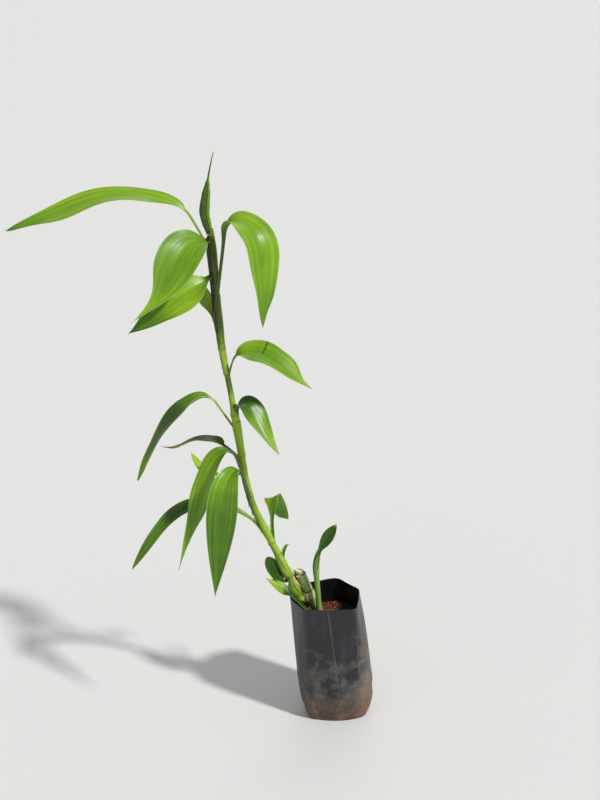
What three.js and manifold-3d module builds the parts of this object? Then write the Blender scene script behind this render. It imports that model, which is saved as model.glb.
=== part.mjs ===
// Potted lucky bamboo: a leafy shoot that has grown from a cut cane, in a soft black nursery bag of soil.
// Millimetres, +Z up, origin at the centre of the bag's flat underside. +X is the viewer's right and
// -Y is the side that faces the viewer. Plan directions are in degrees, counterclockwise from +X.
import * as THREE from "three";
import { mergeVertices } from "three/addons/utils/BufferGeometryUtils.js";
import Module from "manifold-3d";

// Clearance between pieces that touch on the real plant.
const GAP = 0.3;

// The nursery bag: flat underside, full belly, six-sided mouth where its fold lines stand open.
const BAG = {
  height: 135,
  wall: 1,
  footRadius: 33,
  bellyRadius: 40.4,
  bellyHeight: 39,
  bellyRoundness: 3.2,
  mouthRadius: 38,
  mouthLean: -15,
  leanPower: 1.3,
  foldStart: 40,
  foldsAtFoot: 0.45,
  foldsAtBelly: 0.2,
  sidesPerFold: 4,
  levels: [2, 6, 12, 22, 39, 62, 85, 110],
};
// Fold corners: plan direction and distance from the bag's middle, at the mouth and at the foot.
const CORNERS = [
  { direction: -119, reach: 45, footDirection: -140, footReach: 45 },
  { direction: -49, reach: 50, footDirection: -36, footReach: 35 },
  { direction: 16, reach: 39, footDirection: 20, footReach: 34 },
  { direction: 71, reach: 42, footDirection: 74, footReach: 35 },
  { direction: 118, reach: 33, footDirection: 124, footReach: 34 },
  { direction: 190, reach: 39, footDirection: 176, footReach: 35 },
];

// The potting soil stops short of the mouth. Limbs that stand in it are cut flat just above it.
const SOIL_LEVEL = 109;
const FOOT_DEPTH = 20;

// The old cane that was planted: cut flat above its top ring.
const CANE = {
  foot: new THREE.Vector3(-17.9, 0, SOIL_LEVEL - 4),
  lean: 23,
  length: 61,
  radius: 5,
  rings: [12, 35, 57],
  ringSwell: 0.7,
  ringWidth: 2.2,
};

// Upright limbs: each is walked up from its foot by its lean (degrees from upright, to the left), with
// its radius, both at stations in mm along it. Rings mark the joints that old leaves have left.
// The living shoot leaves the cane's middle ring and straightens as it climbs. It swells wherever the
// sheaths of several leaves wrap it.
const SHOOT = {
  foot: new THREE.Vector3(-35, 0, 126.5),
  leans: [
    { at: 0, lean: 31 },
    { at: 40, lean: 26.5 },
    { at: 92, lean: 26 },
    { at: 168, lean: 7.6 },
    { at: 260, lean: 10.2 },
    { at: 305, lean: 6.8 },
    { at: 350, lean: 3.6 },
    { at: 375, lean: 4.2 },
    { at: 408, lean: 8 },
  ],
  radii: [
    { at: 0, radius: 4 },
    { at: 90, radius: 3.8 },
    { at: 110, radius: 3.4 },
    { at: 180, radius: 3.6 },
    { at: 218, radius: 4.2 },
    { at: 236, radius: 2.7 },
    { at: 262, radius: 2.6 },
    { at: 274, radius: 3.2 },
    { at: 300, radius: 3.6 },
    { at: 320, radius: 4.4 },
    { at: 348, radius: 4 },
    { at: 386, radius: 4.6 },
    { at: 408, radius: 3.2 },
  ],
  rings: [24, 76, 132, 178, 222, 266, 293],
  spacing: 14,
};
// The newest leaf, still rolled into a spear at the top of the shoot.
const SPEAR = {
  leans: [
    { at: 0, lean: 10 },
    { at: 14, lean: 15 },
    { at: 28, lean: -7 },
    { at: 46, lean: -9 },
    { at: 82, lean: -14 },
  ],
  radii: [
    { at: 0, radius: 3 },
    { at: 12, radius: 5 },
    { at: 26, radius: 5.6 },
    { at: 40, radius: 4.6 },
    { at: 49, radius: 2.8 },
    { at: 56, radius: 1.1 },
    { at: 82, radius: 0.5 },
  ],
  rings: [],
  spacing: 6,
};
// A young shoot that rises from the soil beside the cane.
const SIDE_SHOOT = {
  foot: new THREE.Vector3(-19, -12, SOIL_LEVEL - 3),
  leans: [
    { at: 0, lean: 6 },
    { at: 50, lean: 5 },
    { at: 80, lean: -12 },
  ],
  radii: [
    { at: 0, radius: 4 },
    { at: 30, radius: 2.7 },
    { at: 62, radius: 3.3 },
    { at: 80, radius: 2.6 },
  ],
  rings: [],
  spacing: 8,
};
const RING = { swell: 0.5, width: 2.5 };
// The spacing of the stations that a limb's centre line is walked in.
const STEP = 2;
const LIMB_SIDES = 12;

// Every leaf: where it leaves the shoot (mm up it, or a root point of its own), its plan direction there
// and how far that turns, its climb in degrees over level at the root, after the stalk and once drooped,
// the share of the blade over which it droops, how far its tip lifts again, its length, the length of its
// stalk, the stalk's width at both ends, how far up it bends and in what length, the width of its blade,
// the swell and taper of its outline, the blade's roll at both ends, and where a margin stands out or in
// of that outline: which side (1 is the left one, seen from the root), at what share of the blade, over
// what share and by how many mm.
const LEAVES = [
  { name: "leaf_1", at: 396, side: 182, turn: 8, rise: 60, crest: 20, fall: -19, droop: 0.65,
    length: 220, stalk: 43, width: 28, shape: [0.5, 0.7], roll: [-20, -27], margins: [[1, 0.77, 0.36, 7]] },
  { name: "leaf_3", at: 345, side: -32, turn: -18, rise: 81, crest: 3, fall: -90, droop: 0.52,
    length: 204, stalk: 74, stalkWidth: [6.5, 18], flare: 8, bendAt: 77, width: 35, shape: [0.6, 0.9],
    roll: [12, 28], margins: [[-1, 0.2, 0.2, 2], [-1, 0.72, 0.35, -5.5], [1, 0.88, 0.15, -2]] },
  { name: "leaf_4", at: 402, side: 235, turn: -20, rise: 5, crest: 14, fall: -55, droop: 0.4,
    lift: 26, length: 126, stalk: 6, stalkWidth: [8, 8], width: 43, shape: [0.8, 1.7], roll: [-38, -30],
    margins: [[-1, 0.08, 0.1, -2.5], [-1, 0.7, 0.25, -3]] },
  { name: "leaf_5", at: 366, side: 222, turn: -27, rise: -15, crest: -18, fall: -32, droop: 0.6, lift: 5,
    length: 102, stalk: 6, stalkWidth: [8, 8], width: 40, shape: [0.8, 1.3], roll: [-32, -35] },
  { name: "leaf_6", at: 302, side: 150, turn: 0, rise: 72, crest: 60, fall: 20, droop: 1,
    length: 92, stalk: 24, width: 28, roll: [0, 0] },
  { name: "leaf_7", at: 262, side: -20, turn: 0, rise: 76, crest: 14, fall: -36, droop: 0.65, lift: 2,
    length: 115, stalk: 25, width: 29, roll: [27, 34],
    margins: [[1, 0.64, 0.16, 2.5], [1, 0.86, 0.12, -1.5]] },
  { name: "leaf_8", at: 205, side: 175, turn: 0, rise: 56, crest: -28, fall: -65, droop: 0.68,
    length: 167, stalk: 43, bend: 12, width: 29, roll: [-10, -30],
    margins: [[1, 0.75, 0.3, 3], [-1, 0.8, 0.3, 3.5]] },
  { name: "leaf_9", at: 212, side: -35, turn: 0, rise: 92, crest: -5, fall: -56, droop: 0.3, lift: 15,
    length: 90, stalk: 16, stalkWidth: [6, 10], bendAt: 23, width: 27, shape: [0.5, 1.1],
    roll: [10, 30], margins: [[-1, 0.58, 0.45, -5], [1, 0.3, 0.25, 1.5]] },
  { name: "leaf_10", at: 172, side: 145, turn: 0, rise: 27, crest: 8, fall: -30, droop: 0.6, lift: 28,
    length: 112, stalk: 25, width: 20, shape: [0.5, 1.4], roll: [0, -15] },
  { name: "leaf_11", at: 156, side: 165, turn: 0, rise: -12, crest: 12, fall: 64, droop: 1,
    length: 65, stalk: 24, width: 12, shape: [0.6, 0.8], roll: [0, -35] },
  { name: "leaf_12", at: 148, side: 219, turn: 0, rise: 70, crest: -16, fall: -67, droop: 0.28,
    length: 178, stalk: 41, width: 31, shape: [0.6, 1.4], roll: [0, 0],
    margins: [[1, 0.55, 0.22, 2], [1, 0.82, 0.2, -2]] },
  { name: "leaf_13", at: 128, side: 246, turn: 0, rise: 61, crest: 0, fall: -76, droop: 0.32,
    length: 192, stalk: 50, width: 34, shape: [0.8, 1.2], roll: [0, 0] },
  { name: "leaf_14", at: 60, side: 184, turn: 2, rise: 60, crest: 42, fall: -55, droop: 0.75,
    length: 209, stalk: 40, width: 19, shape: [1, 0.8], roll: [-20, -30],
    margins: [[1, 0.68, 0.32, -2.2], [-1, 0.85, 0.2, 2]] },
  { name: "leaf_15", at: 72, side: 115, turn: -75, rise: 91, crest: -40, fall: -70, droop: 0.8,
    length: 84, stalk: 28, stalkWidth: [5, 5], bendAt: 52, bend: 7, width: 28, shape: [0.8, 0.03],
    roll: [-45, 0] },
  { name: "leaf_16", at: 52, side: 60, turn: -30, rise: 88, crest: 30, fall: -10, droop: 1,
    length: 20, stalk: 12, width: 4, roll: [0, 0] },
  { name: "leaf_17", at: 25, side: 190, turn: -20, rise: 8, crest: 58, fall: 64, droop: 0.8,
    length: 41, stalk: 9, width: 17, shape: [0.5, 0.5], roll: [-45, -45] },
  { name: "leaf_18", root: [-25, -9, 108], side: 182, turn: 0, rise: 50, crest: 37, fall: 36, droop: 1,
    length: 73, stalk: 40, width: 13, roll: [-30, -40] },
  { name: "leaf_19", root: [-23.3, -12, 185.5], side: 15, turn: 0, rise: 64, crest: 60, fall: 55,
    droop: 1, length: 37, stalk: 5, stalkWidth: [7, 7], width: 13, shape: [0.7, 0.8], roll: [50, 55],
    margins: [[1, 0.25, 0.25, -2]] },
];

// What all leaves share: how deep in the limb they are rooted, how far the stalk takes to bend into the
// blade, the blade's swell and taper, the stalk's width, how late it widens and the share of the blade in
// which it fades, the gutter angles of stalk and blade, and the narrowest tip.
const BLADE = {
  rootInset: 0.8,
  bend: 14,
  shape: [0.6, 1.2],
  stalkWidth: [5, 5.5],
  flare: 3,
  stalkFade: 0.3,
  stalkGutter: 35,
  gutter: 12,
  gutterFade: 0.25,
  lastLift: 0.9,
  tipWidth: 1.2,
  leastThickness: 1,
  thicknessPerLength: 0.01,
};
const LEAF_STEPS = 200;
const LEAF_ROWS = 18;
const FEWEST_ROWS = 4;
const LEAF_SECTION = [1, 0.5, 0, -0.5, -1];
// Leaves that bend by more than this many degrees are two pieces, parted where half of the bend is done.
const MOST_BEND = 60;

const RADIANS = Math.PI / 180;
const WELD = 1e-4;
const UP = new THREE.Vector3(0, 0, 1);

const wasm = await Module();
wasm.setup();

// A smooth step from 0 to 1 as x goes from a to b.
function eased(x, a, b) {
  const t = THREE.MathUtils.clamp((x - a) / (b - a), 0, 1);
  return t * t * (3 - 2 * t);
}

// The direction that points out at a plan direction and a climb over level.
function heading(plan, climb) {
  const [p, c] = [plan * RADIANS, climb * RADIANS];
  return new THREE.Vector3(Math.cos(c) * Math.cos(p), Math.cos(c) * Math.sin(p), Math.sin(c));
}

// A closed body from rings with the same number of points, each end closed by a fan.
function loft(rings) {
  const count = rings[0].length;
  const positions = rings.flat().flatMap((p) => p.toArray());
  const faces = [];
  for (let i = 0; i + 1 < rings.length; i++)
    for (let j = 0; j < count; j++) {
      const [a, b] = [i * count + j, i * count + ((j + 1) % count)];
      faces.push(a, b, b + count, a, b + count, a + count);
    }
  for (const [ring, flipped] of [[0, true], [rings.length - 1, false]]) {
    const middle = rings[ring].reduce((sum, p) => sum.add(p), new THREE.Vector3()).divideScalar(count);
    const hub = positions.push(...middle.toArray()) / 3 - 1;
    for (let j = 0; j < count; j++) {
      const [a, b] = [ring * count + j, ring * count + ((j + 1) % count)];
      faces.push(hub, flipped ? b : a, flipped ? a : b);
    }
  }
  const geometry = new THREE.BufferGeometry();
  geometry.setAttribute("position", new THREE.Float32BufferAttribute(positions, 3));
  geometry.setIndex(faces);
  return geometry;
}

// A closed plate between an upper and a lower grid of points.
function plate(upper, lower) {
  const [rows, columns] = [upper.length, upper[0].length];
  const rings = upper.map((row, i) => [...row, ...[...lower[i]].reverse()]);
  const geometry = loft(rings);
  const faces = Array.from(geometry.index.array).slice(0, (rows - 1) * columns * 2 * 6);
  const count = 2 * columns;
  for (const [ring, flipped] of [[0, true], [rows - 1, false]])
    for (let j = 0; j + 1 < columns; j++) {
      const [a, b] = [ring * count + j, ring * count + j + 1];
      const [c, d] = [ring * count + count - 2 - j, ring * count + count - 1 - j];
      faces.push(...(flipped ? [a, c, b, a, d, c] : [a, b, c, a, c, d]));
    }
  const positions = Array.from(geometry.attributes.position.array).slice(0, rows * count * 3);
  geometry.setAttribute("position", new THREE.Float32BufferAttribute(positions, 3));
  geometry.setIndex(faces);
  return geometry;
}

function toSolid(geometry) {
  const merged = mergeVertices(geometry, WELD);
  return new wasm.Manifold(
    new wasm.Mesh({
      numProp: 3,
      vertProperties: merged.attributes.position.array,
      triVerts: new Uint32Array(merged.index.array),
    }),
  );
}

function toGeometry(solid) {
  const mesh = solid.getMesh();
  const positions = [];
  for (let i = 0; i < mesh.numVert; i++) {
    const start = i * mesh.numProp;
    positions.push(...mesh.vertProperties.slice(start, start + 3));
  }
  const geometry = new THREE.BufferGeometry();
  geometry.setAttribute("position", new THREE.Float32BufferAttribute(positions, 3));
  geometry.setIndex(Array.from(mesh.triVerts));
  return geometry;
}

// What is left of a solid once others are cut away, without the loose scraps.
function carved(solid, cutters) {
  const rest = cutters.reduce((left, cutter) => left.subtract(cutter), solid);
  return rest.decompose().reduce((largest, body) => (body.volume() > largest.volume() ? body : largest));
}

// The bag's outline at a height, drawn in by an inset from its outer face.
function bagRing(z, inset) {
  const risen = eased(z, 0, BAG.height);
  const corners = CORNERS.map(({ direction, reach, footDirection, footReach }) => {
    const angle = THREE.MathUtils.lerp(footDirection, direction, risen) * RADIANS;
    const out = THREE.MathUtils.lerp(footReach / BAG.footRadius, reach / BAG.mouthRadius, risen);
    return new THREE.Vector2(out * Math.cos(angle), out * Math.sin(angle));
  });
  const belly = 1 - Math.max(0, 1 - z / BAG.bellyHeight) ** BAG.bellyRoundness;
  const roundRadius = BAG.footRadius + (BAG.bellyRadius - BAG.footRadius) * belly
    - (BAG.bellyRadius - BAG.mouthRadius) * eased(z, BAG.bellyHeight, BAG.height);
  const folds = z < BAG.foldStart
    ? BAG.foldsAtFoot + (BAG.foldsAtBelly - BAG.foldsAtFoot) * eased(z, 0, BAG.foldStart)
    : BAG.foldsAtBelly + (1 - BAG.foldsAtBelly) * eased(z, BAG.foldStart, BAG.height);
  const shift = BAG.mouthLean * (z / BAG.height) ** BAG.leanPower;
  const ring = [];
  corners.forEach((corner, i) => {
    const next = corners[(i + 1) % corners.length];
    for (let k = 0; k < BAG.sidesPerFold; k++) {
      const folded = corner.clone().lerp(next, k / BAG.sidesPerFold);
      const round = folded.clone().setLength(roundRadius);
      const p = round.lerp(folded.multiplyScalar(roundRadius), folds);
      p.setLength(p.length() - inset);
      ring.push(new THREE.Vector3(p.x + shift, p.y, z));
    }
  });
  return ring;
}

// A solid with the bag's outline between two heights.
function bagFilling(bottom, top, inset) {
  const between = BAG.levels.filter((z) => z > bottom + GAP && z < top - GAP);
  const heights = [bottom, ...between, top];
  return toSolid(loft(heights.map((z) => bagRing(z, inset))));
}

// A round limb along a path of stations, each { centre, radius }.
function limb(stations) {
  const rings = stations.map(({ centre, radius }, i) => {
    const before = stations[Math.max(0, i - 1)].centre;
    const after = stations[Math.min(stations.length - 1, i + 1)].centre;
    const along = after.clone().sub(before).normalize();
    const across = new THREE.Vector3(0, 1, 0).cross(along).normalize();
    const upwards = along.clone().cross(across);
    return Array.from({ length: LIMB_SIDES }, (_, k) => {
      const turn = (2 * Math.PI * k) / LIMB_SIDES;
      return centre.clone()
        .addScaledVector(across, radius * Math.cos(turn))
        .addScaledVector(upwards, radius * Math.sin(turn));
    });
  });
  return toSolid(loft(rings));
}

// How far a ring stands out at a distance from its middle.
function swellAt(distance, width) {
  return Math.max(0, 1 - Math.abs(distance) / width);
}

function caneStations(extra) {
  const along = heading(180, 90 - CANE.lean);
  const ringStops = CANE.rings.flatMap((at) => [at - CANE.ringWidth, at, at + CANE.ringWidth]);
  const stops = [0, CANE.length, ...ringStops].sort((a, b) => a - b);
  return stops.map((s) => ({
    centre: CANE.foot.clone().addScaledVector(along, s),
    radius: CANE.radius + extra
      + CANE.ringSwell * Math.max(...CANE.rings.map((at) => swellAt(s - at, CANE.ringWidth))),
  }));
}

// A value read off a table of stations, eased from one to the next.
function between(table, key, s) {
  const next = Math.max(1, table.findIndex(({ at }) => at >= Math.min(s, table.at(-1).at)));
  const [low, high] = [table[next - 1], table[next]];
  return low[key] + (high[key] - low[key]) * eased(s, low.at, high.at);
}

// A limb's centre line, walked up in short steps by its lean.
function walked({ foot, leans }) {
  const line = [foot.clone()];
  for (let s = 0; s < leans.at(-1).at; s += STEP) {
    const along = heading(180, 90 - between(leans, "lean", s + STEP / 2));
    line.push(line.at(-1).clone().addScaledVector(along, STEP));
  }
  return line;
}

function pointAlong(line, s) {
  const index = THREE.MathUtils.clamp(s / STEP, 0, line.length - 1.001);
  const low = Math.floor(index);
  return line[low].clone().lerp(line[low + 1], index - low);
}

function radiusAlong({ radii, rings }, s) {
  const swells = rings.map((at) => swellAt(s - at, RING.width));
  return between(radii, "radius", s) + RING.swell * Math.max(0, ...swells);
}

function walkedLimb(plan, extra) {
  const line = walked(plan);
  const length = plan.leans.at(-1).at;
  const spaces = Math.round(length / plan.spacing);
  const stops = plan.rings.flatMap((at) => [at - RING.width, at, at + RING.width]);
  const plain = Array.from({ length: spaces + 1 }, (_, i) => (i * length) / spaces);
  const apart = plain.filter((s) => stops.every((stop) => Math.abs(stop - s) > RING.width));
  const stations = [...apart, ...stops].sort((a, b) => a - b);
  return limb(
    stations.map((s) => ({ centre: pointAlong(line, s), radius: radiusAlong(plan, s) + extra })),
  );
}

// One leaf's midrib: points with their heading, upper normal, reach to each side and gutter angle, root
// to tip.
function leafLine(leaf) {
  const root = leaf.root ? new THREE.Vector3(...leaf.root) : pointAlong(shootLine, leaf.at);
  if (!leaf.root)
    root.addScaledVector(heading(leaf.side, 0), radiusAlong(SHOOT, leaf.at) * BLADE.rootInset);
  const line = [];
  const point = root.clone();
  const [swell, taper] = leaf.shape ?? BLADE.shape;
  const fullest = swell / (swell + taper);
  const fullWidth = fullest ** swell * (1 - fullest) ** taper;
  for (let i = 0; i <= LEAF_STEPS; i++) {
    const s = (leaf.length * i) / LEAF_STEPS;
    const t = THREE.MathUtils.clamp((s - leaf.stalk) / (leaf.length - leaf.stalk), 0, 1);
    const bendAt = leaf.bendAt ?? leaf.stalk;
    const reach = Math.min(leaf.bend ?? BLADE.bend, bendAt);
    const climb = leaf.rise
      + (leaf.crest - leaf.rise) * eased(s, bendAt - reach, bendAt + reach)
      + (leaf.fall - leaf.crest) * eased(t, 0, leaf.droop)
      + (leaf.lift ?? 0) * eased(t, Math.min(leaf.droop, BLADE.lastLift), 1);
    const plan = leaf.side + leaf.turn * t;
    const along = heading(plan, climb);
    const roll = THREE.MathUtils.lerp(leaf.roll[0], leaf.roll[1], t) * eased(s, 0, leaf.stalk);
    const side = UP.clone().cross(heading(plan, 0)).applyAxisAngle(along, roll * RADIANS);
    const normal = along.clone().cross(side);
    const blade = (leaf.width * t ** swell * (1 - t) ** taper) / fullWidth;
    const [thin, thick] = leaf.stalkWidth ?? BLADE.stalkWidth;
    const widening = Math.min(s / leaf.stalk, 1) ** (leaf.flare ?? BLADE.flare);
    const stalk = THREE.MathUtils.lerp(thin, thick, widening)
      * (1 - eased(t, 0, BLADE.stalkFade));
    const half = Math.max(Math.hypot(blade, stalk), BLADE.tipWidth) / 2;
    const margin = (hand) => {
      const out = (leaf.margins ?? []).filter(([on]) => on === hand && t > 0)
        .reduce((sum, [, at, span, by]) => sum + by * eased(1 - Math.abs(t - at) / span, 0, 1), 0);
      return Math.max(half + out, BLADE.tipWidth / 2);
    };
    line.push({
      s, centre: point.clone(), along, side, normal, climb,
      left: margin(1), right: margin(-1),
      gutter: BLADE.gutter + (BLADE.stalkGutter - BLADE.gutter) * (1 - eased(t, 0, BLADE.gutterFade)),
    });
    point.addScaledVector(along, leaf.length / LEAF_STEPS);
  }
  return line;
}

// A stretch of a leaf as a plate, gutter-shaped across, at least a hundredth of the leaf's length thick.
function leafStretch(line, from, to, extra) {
  const length = line.at(-1).s;
  const thickness = Math.max(BLADE.leastThickness, length * BLADE.thicknessPerLength) + 2 * extra;
  const rows = Math.max(FEWEST_ROWS, Math.round((LEAF_ROWS * (to - from)) / length));
  const [upper, lower] = [[], []];
  for (let i = 0; i <= rows; i++) {
    const s = from + ((to - from) * i) / rows;
    const at = line[Math.round((s / length) * LEAF_STEPS)];
    const across = (face) => LEAF_SECTION.map((q) => {
      const reach = q * ((q > 0 ? at.left : at.right) + extra);
      const rise = Math.abs(reach) * Math.sin(at.gutter * RADIANS) + (face * thickness) / 2;
      return at.centre.clone()
        .addScaledVector(at.side, reach * Math.cos(at.gutter * RADIANS))
        .addScaledVector(at.normal, rise);
    });
    upper.push(across(1));
    lower.push(across(-1));
  }
  return toSolid(plate(upper, lower));
}

// One leaf's pieces, clear of the cutters.
function leafSolids({ name, length, rise, fall }, line, cutters) {
  const piece = (from, to) => carved(leafStretch(line, from, to, 0), cutters);
  if (rise - fall <= MOST_BEND) return [[name, piece(0, length)]];
  const parting = line.find(({ climb }) => climb < (rise + fall) / 2).s;
  return [
    [name + "_stalk", piece(0, parting - GAP / 2)],
    [name + "_blade", piece(parting + GAP / 2, length)],
  ];
}

const group = new THREE.Group();
function add(name, solid, colour, roughness) {
  const material = new THREE.MeshStandardMaterial({ color: colour, roughness, metalness: 0 });
  const mesh = new THREE.Mesh(toGeometry(solid), material);
  mesh.name = name;
  group.add(mesh);
}

const bag = bagFilling(0, BAG.height, 0).subtract(bagFilling(BAG.wall, BAG.height + 1, BAG.wall));
const soil = bagFilling(BAG.wall + GAP, SOIL_LEVEL, BAG.wall + GAP);
const ground = bagFilling(SOIL_LEVEL - FOOT_DEPTH, SOIL_LEVEL + GAP, 0);

const shootLine = walked(SHOOT);
SPEAR.foot = shootLine.at(-1).clone().addScaledVector(UP, 2 * GAP);
const caneRoom = limb(caneStations(GAP));
const rooms = [ground, caneRoom, ...[SHOOT, SPEAR, SIDE_SHOOT].map((plan) => walkedLimb(plan, GAP))];

add("bag", bag, 0x2b2c2e, 0.6);
add("soil", soil, 0x4a3326, 1);
add("cane", carved(limb(caneStations(0)), [ground]), 0x4f7a3a, 0.55);
add("shoot", carved(walkedLimb(SHOOT, 0), [caneRoom]), 0x7da32f, 0.5);
add("leaf_2_spear", walkedLimb(SPEAR, 0), 0x4f7d22, 0.45);
add("side_shoot", carved(walkedLimb(SIDE_SHOOT, 0), [ground]), 0x7da32f, 0.5);
// Each leaf grows clear of the limbs and of the leaves before it.
for (const leaf of LEAVES) {
  const line = leafLine(leaf);
  for (const [name, solid] of leafSolids(leaf, line, rooms)) add(name, solid, 0x6ea32a, 0.45);
  rooms.push(leafStretch(line, 0, leaf.length, GAP));
}

export default group;
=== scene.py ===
"""Looks of a potted lucky bamboo: a leafy shoot from a cut cane, in a black nursery bag of soil."""
import math
import random
from functools import partial

import bmesh
import bpy
import numpy as np
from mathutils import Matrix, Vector, noise


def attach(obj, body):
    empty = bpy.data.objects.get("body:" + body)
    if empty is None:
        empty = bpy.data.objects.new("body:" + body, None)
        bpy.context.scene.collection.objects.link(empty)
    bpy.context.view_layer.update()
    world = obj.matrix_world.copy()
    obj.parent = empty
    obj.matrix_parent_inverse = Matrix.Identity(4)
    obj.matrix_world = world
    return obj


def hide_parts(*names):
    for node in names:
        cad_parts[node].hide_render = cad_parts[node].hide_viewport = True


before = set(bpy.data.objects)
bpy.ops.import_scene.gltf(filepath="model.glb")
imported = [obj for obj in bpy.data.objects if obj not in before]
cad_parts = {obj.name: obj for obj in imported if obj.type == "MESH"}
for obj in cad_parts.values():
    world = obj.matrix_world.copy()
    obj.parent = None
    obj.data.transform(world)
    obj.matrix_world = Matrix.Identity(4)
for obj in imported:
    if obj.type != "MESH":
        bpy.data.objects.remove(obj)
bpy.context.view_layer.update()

# Sizes are in mm, as in the part's source, until a mesh is made.
MM = 0.001
UP = np.array([0.0, 0.0, 1.0])

# The nursery bag.
BAG = {
    "height": 135, "film": 0.5, "foot_radius": 33, "belly_radius": 40.4, "belly_height": 39,
    "belly_roundness": 3.2, "mouth_radius": 38, "mouth_lean": -15, "lean_power": 1.3,
    "fold_start": 40, "folds_at_foot": 0.45, "folds_at_belly": 0.2, "rim_sag": 1.3,
}
# The film is slack all over, and crumpled and wrinkled aslant low down: how far that stands in or out,
# how fine it is round the bag, how tall in mm, and how many degrees round shift it by as much.
SLACK = (0.9, 2.4, 42)
CRUMPLES = [(2.6, 2.2, 19, 95), (1.5, 6, 8, -40)]
# Fold corners: plan direction and distance from the bag's middle, at the mouth and at the foot.
CORNERS = [
    (-119, 45, -140, 45), (-49, 50, -36, 35), (16, 39, 20, 34), (71, 42, 74, 35), (118, 33, 124, 34),
    (190, 39, 176, 35),
]
# Creases pressed into the film: plan direction at the mouth and at the belly, height in mm, and the
# strength of each one's mark, a pale line, partly worn and partly painted highlight, with painted shade to
# its left.
CREASES = [
    (-119, -134, 0.35, 0.3), (-87, -87, 0.8, 1), (-49, -50.5, 0.5, 0.5), (16, 14, 0.35, 0.4),
    (71, 71, 0.3, 0.4), (93, 92, 0.25, 0.7), (118, 124, 0.3, 0.4), (190, 184, 0.35, 0.5),
    (153, 152, 0.25, 0.6),
]
CREASE_WIDTH = 0.65
# Painted shade lies along a crease's left: how far off, how wide and how deep it is.
CREASE_SHADE = (1.9, 1.3, 0.8)
# The soil's mean level, and the heaps on it: how high and how broad, and a place in the noise.
SOIL_LEVEL = 109
HEAPS = [(1.6, 13, 0.7), (0.7, 4, 5.1)]
CRUMB_RADIUS = 1.1
FIBRE_RADIUS, FIBRE_LENGTH = 0.45, 9

# Limbs: where each starts and ends, its lean from upright and its radius along it, the rings that swell
# it and its scars. tones are stations up the limb, from 0, deep green, to 1, yellow-green. The shoot's
# tones hold painted shade where leaves shade it, dark from 250 to 262 mm up and from 304 mm to its top,
# and painted light at its foot.
STEP = 2
RING_WIDTH = 2.5
CANE = {
    "foot": (-17.9, 0, SOIL_LEVEL - 4), "top": 62, "leans": [(0, 23), (64, 23)],
    "radii": [(0, 5.2), (52, 5.2), (59, 5.1), (62, 4.2)],
    "rings": [12, 35, 57], "swell": 0.6, "scars": [12, 36.8, 58], "scar_width": 1.6,
    "tones": [(0, 0.1), (10, 0.3), (14, 0.2), (27, 0.4), (30, 0.85), (35, 0.9), (38, 0.5), (56, 0.5),
              (59, 0.3), (61, 0.5)],
}
SHOOT = {
    "foot": (-35, 0, 126.5), "top": 408,
    "leans": [(0, 31), (40, 26.5), (92, 26), (168, 7.6), (260, 10.2), (305, 6.8), (350, 3.6),
              (375, 4.2), (408, 8)],
    "radii": [(0, 3.4), (5, 4.7), (11, 3.4), (21, 4.5), (34, 3.9), (48, 3.4), (66, 3.5), (90, 3.8),
              (110, 3.4), (180, 3.6), (218, 4.2), (236, 2.7), (262, 2.6), (274, 3.2), (300, 3.6),
              (320, 4.4), (348, 4), (386, 4.6), (408, 3.2)],
    "rings": [24, 76, 132, 178, 222, 266, 293], "swell": 0.5,
    "scars": [9, 33, 61, 76, 92, 118, 132, 178, 222, 266, 293], "scar_width": 1.1,
    "tones": [(0, 0.75), (5, 0.95), (11, 0.35), (20, 0.56), (30, 0.46), (33, 0.2), (37, 0.5),
              (60, 0.54), (96, 0.56), (108, 0.45), (130, 0.26), (146, 0.42), (160, 0.62), (190, 0.7),
              (215, 0.72), (240, 0.62), (250, 0.2), (261, 0.2), (268, 0.58), (288, 0.6), (304, 0.28),
              (314, 0.06), (408, 0.02)],
}
SIDE_SHOOT = {
    "foot": (-19, -12, SOIL_LEVEL - 3), "top": 82, "leans": [(0, 6), (56, 4), (84, -20)],
    "radii": [(0, 4.2), (12, 3.4), (30, 2.8), (55, 3), (64, 3.6), (72, 3.1), (82, 1)],
    "tones": [(0, 0.62), (10, 0.5), (40, 0.42), (82, 0.35)],
}
# A dark limb in the fork of cane and shoot, painted near black: painted shade that fills the gap there.
FORK_SHADE = {
    "foot": (-36.5, 2, 136), "top": 24, "leans": [(0, 24.5), (24, 24.5)],
    "radii": [(0, 2.8), (18, 2.4), (24, 1)], "tones": [(0, 0.02), (24, 0.1)],
}
# The newest leaf, rolled up: turns it makes, the plan direction of its free edge, how flat it is and how
# far over the shoot's end it starts.
SPEAR = {
    "top": 82, "leans": [(0, 10), (14, 15), (28, -7), (46, -9), (82, -14)],
    "radii": [(0, 3), (12, 5), (26, 5.6), (40, 4.6), (49, 2.8), (56, 1.1), (82, 0.5)],
    "turns": 1.25, "edge_at": -62, "flatness": 0.72, "lift": 0.6,
}
# The sheath round the foot of the newest leaf, over the shoot's end.
LAST_SHEATH = {"top": 424, "radii": [(0, 4), (372, 4.4), (392, 4.9), (408, 4.7), (424, 4.9)]}
LIMB_ROW = 0.9
LIMB_COLUMNS = 32
# Bark is uneven by a share of its radius: how much, how fine round the limb and how long in mm.
BARK = (0.06, 2.2, 14)
SCAR_DEPTH = 0.25
# The cut face of the cane: how far out and how high each ring of it lies.
CUT_FACE = [(4, -1), (4, 0), (3.8, 0.4), (3.3, 0.5), (2, 0.4), (0.5, 0.4)]

# What a leaf has where it doesn't say otherwise.
BLADE = {
    "turn": 0, "roll": (0, 0), "lift": 0, "bend": 14, "shape": (0.6, 1.2), "stalk_width": (5, 5.5),
    "flare": 3, "margins": (), "held": False, "lit": 0, "dry": 0.0, "waves": 1.8, "ribs": 1, "loose": 0,
    "root_inset": 0.8, "stalk_fade": 0.3, "stalk_gutter": 35, "gutter": 12, "gutter_fade": 0.25,
    "last_lift": 0.9, "tip_width": 0.5, "slit_width": 0.009,
}
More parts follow.
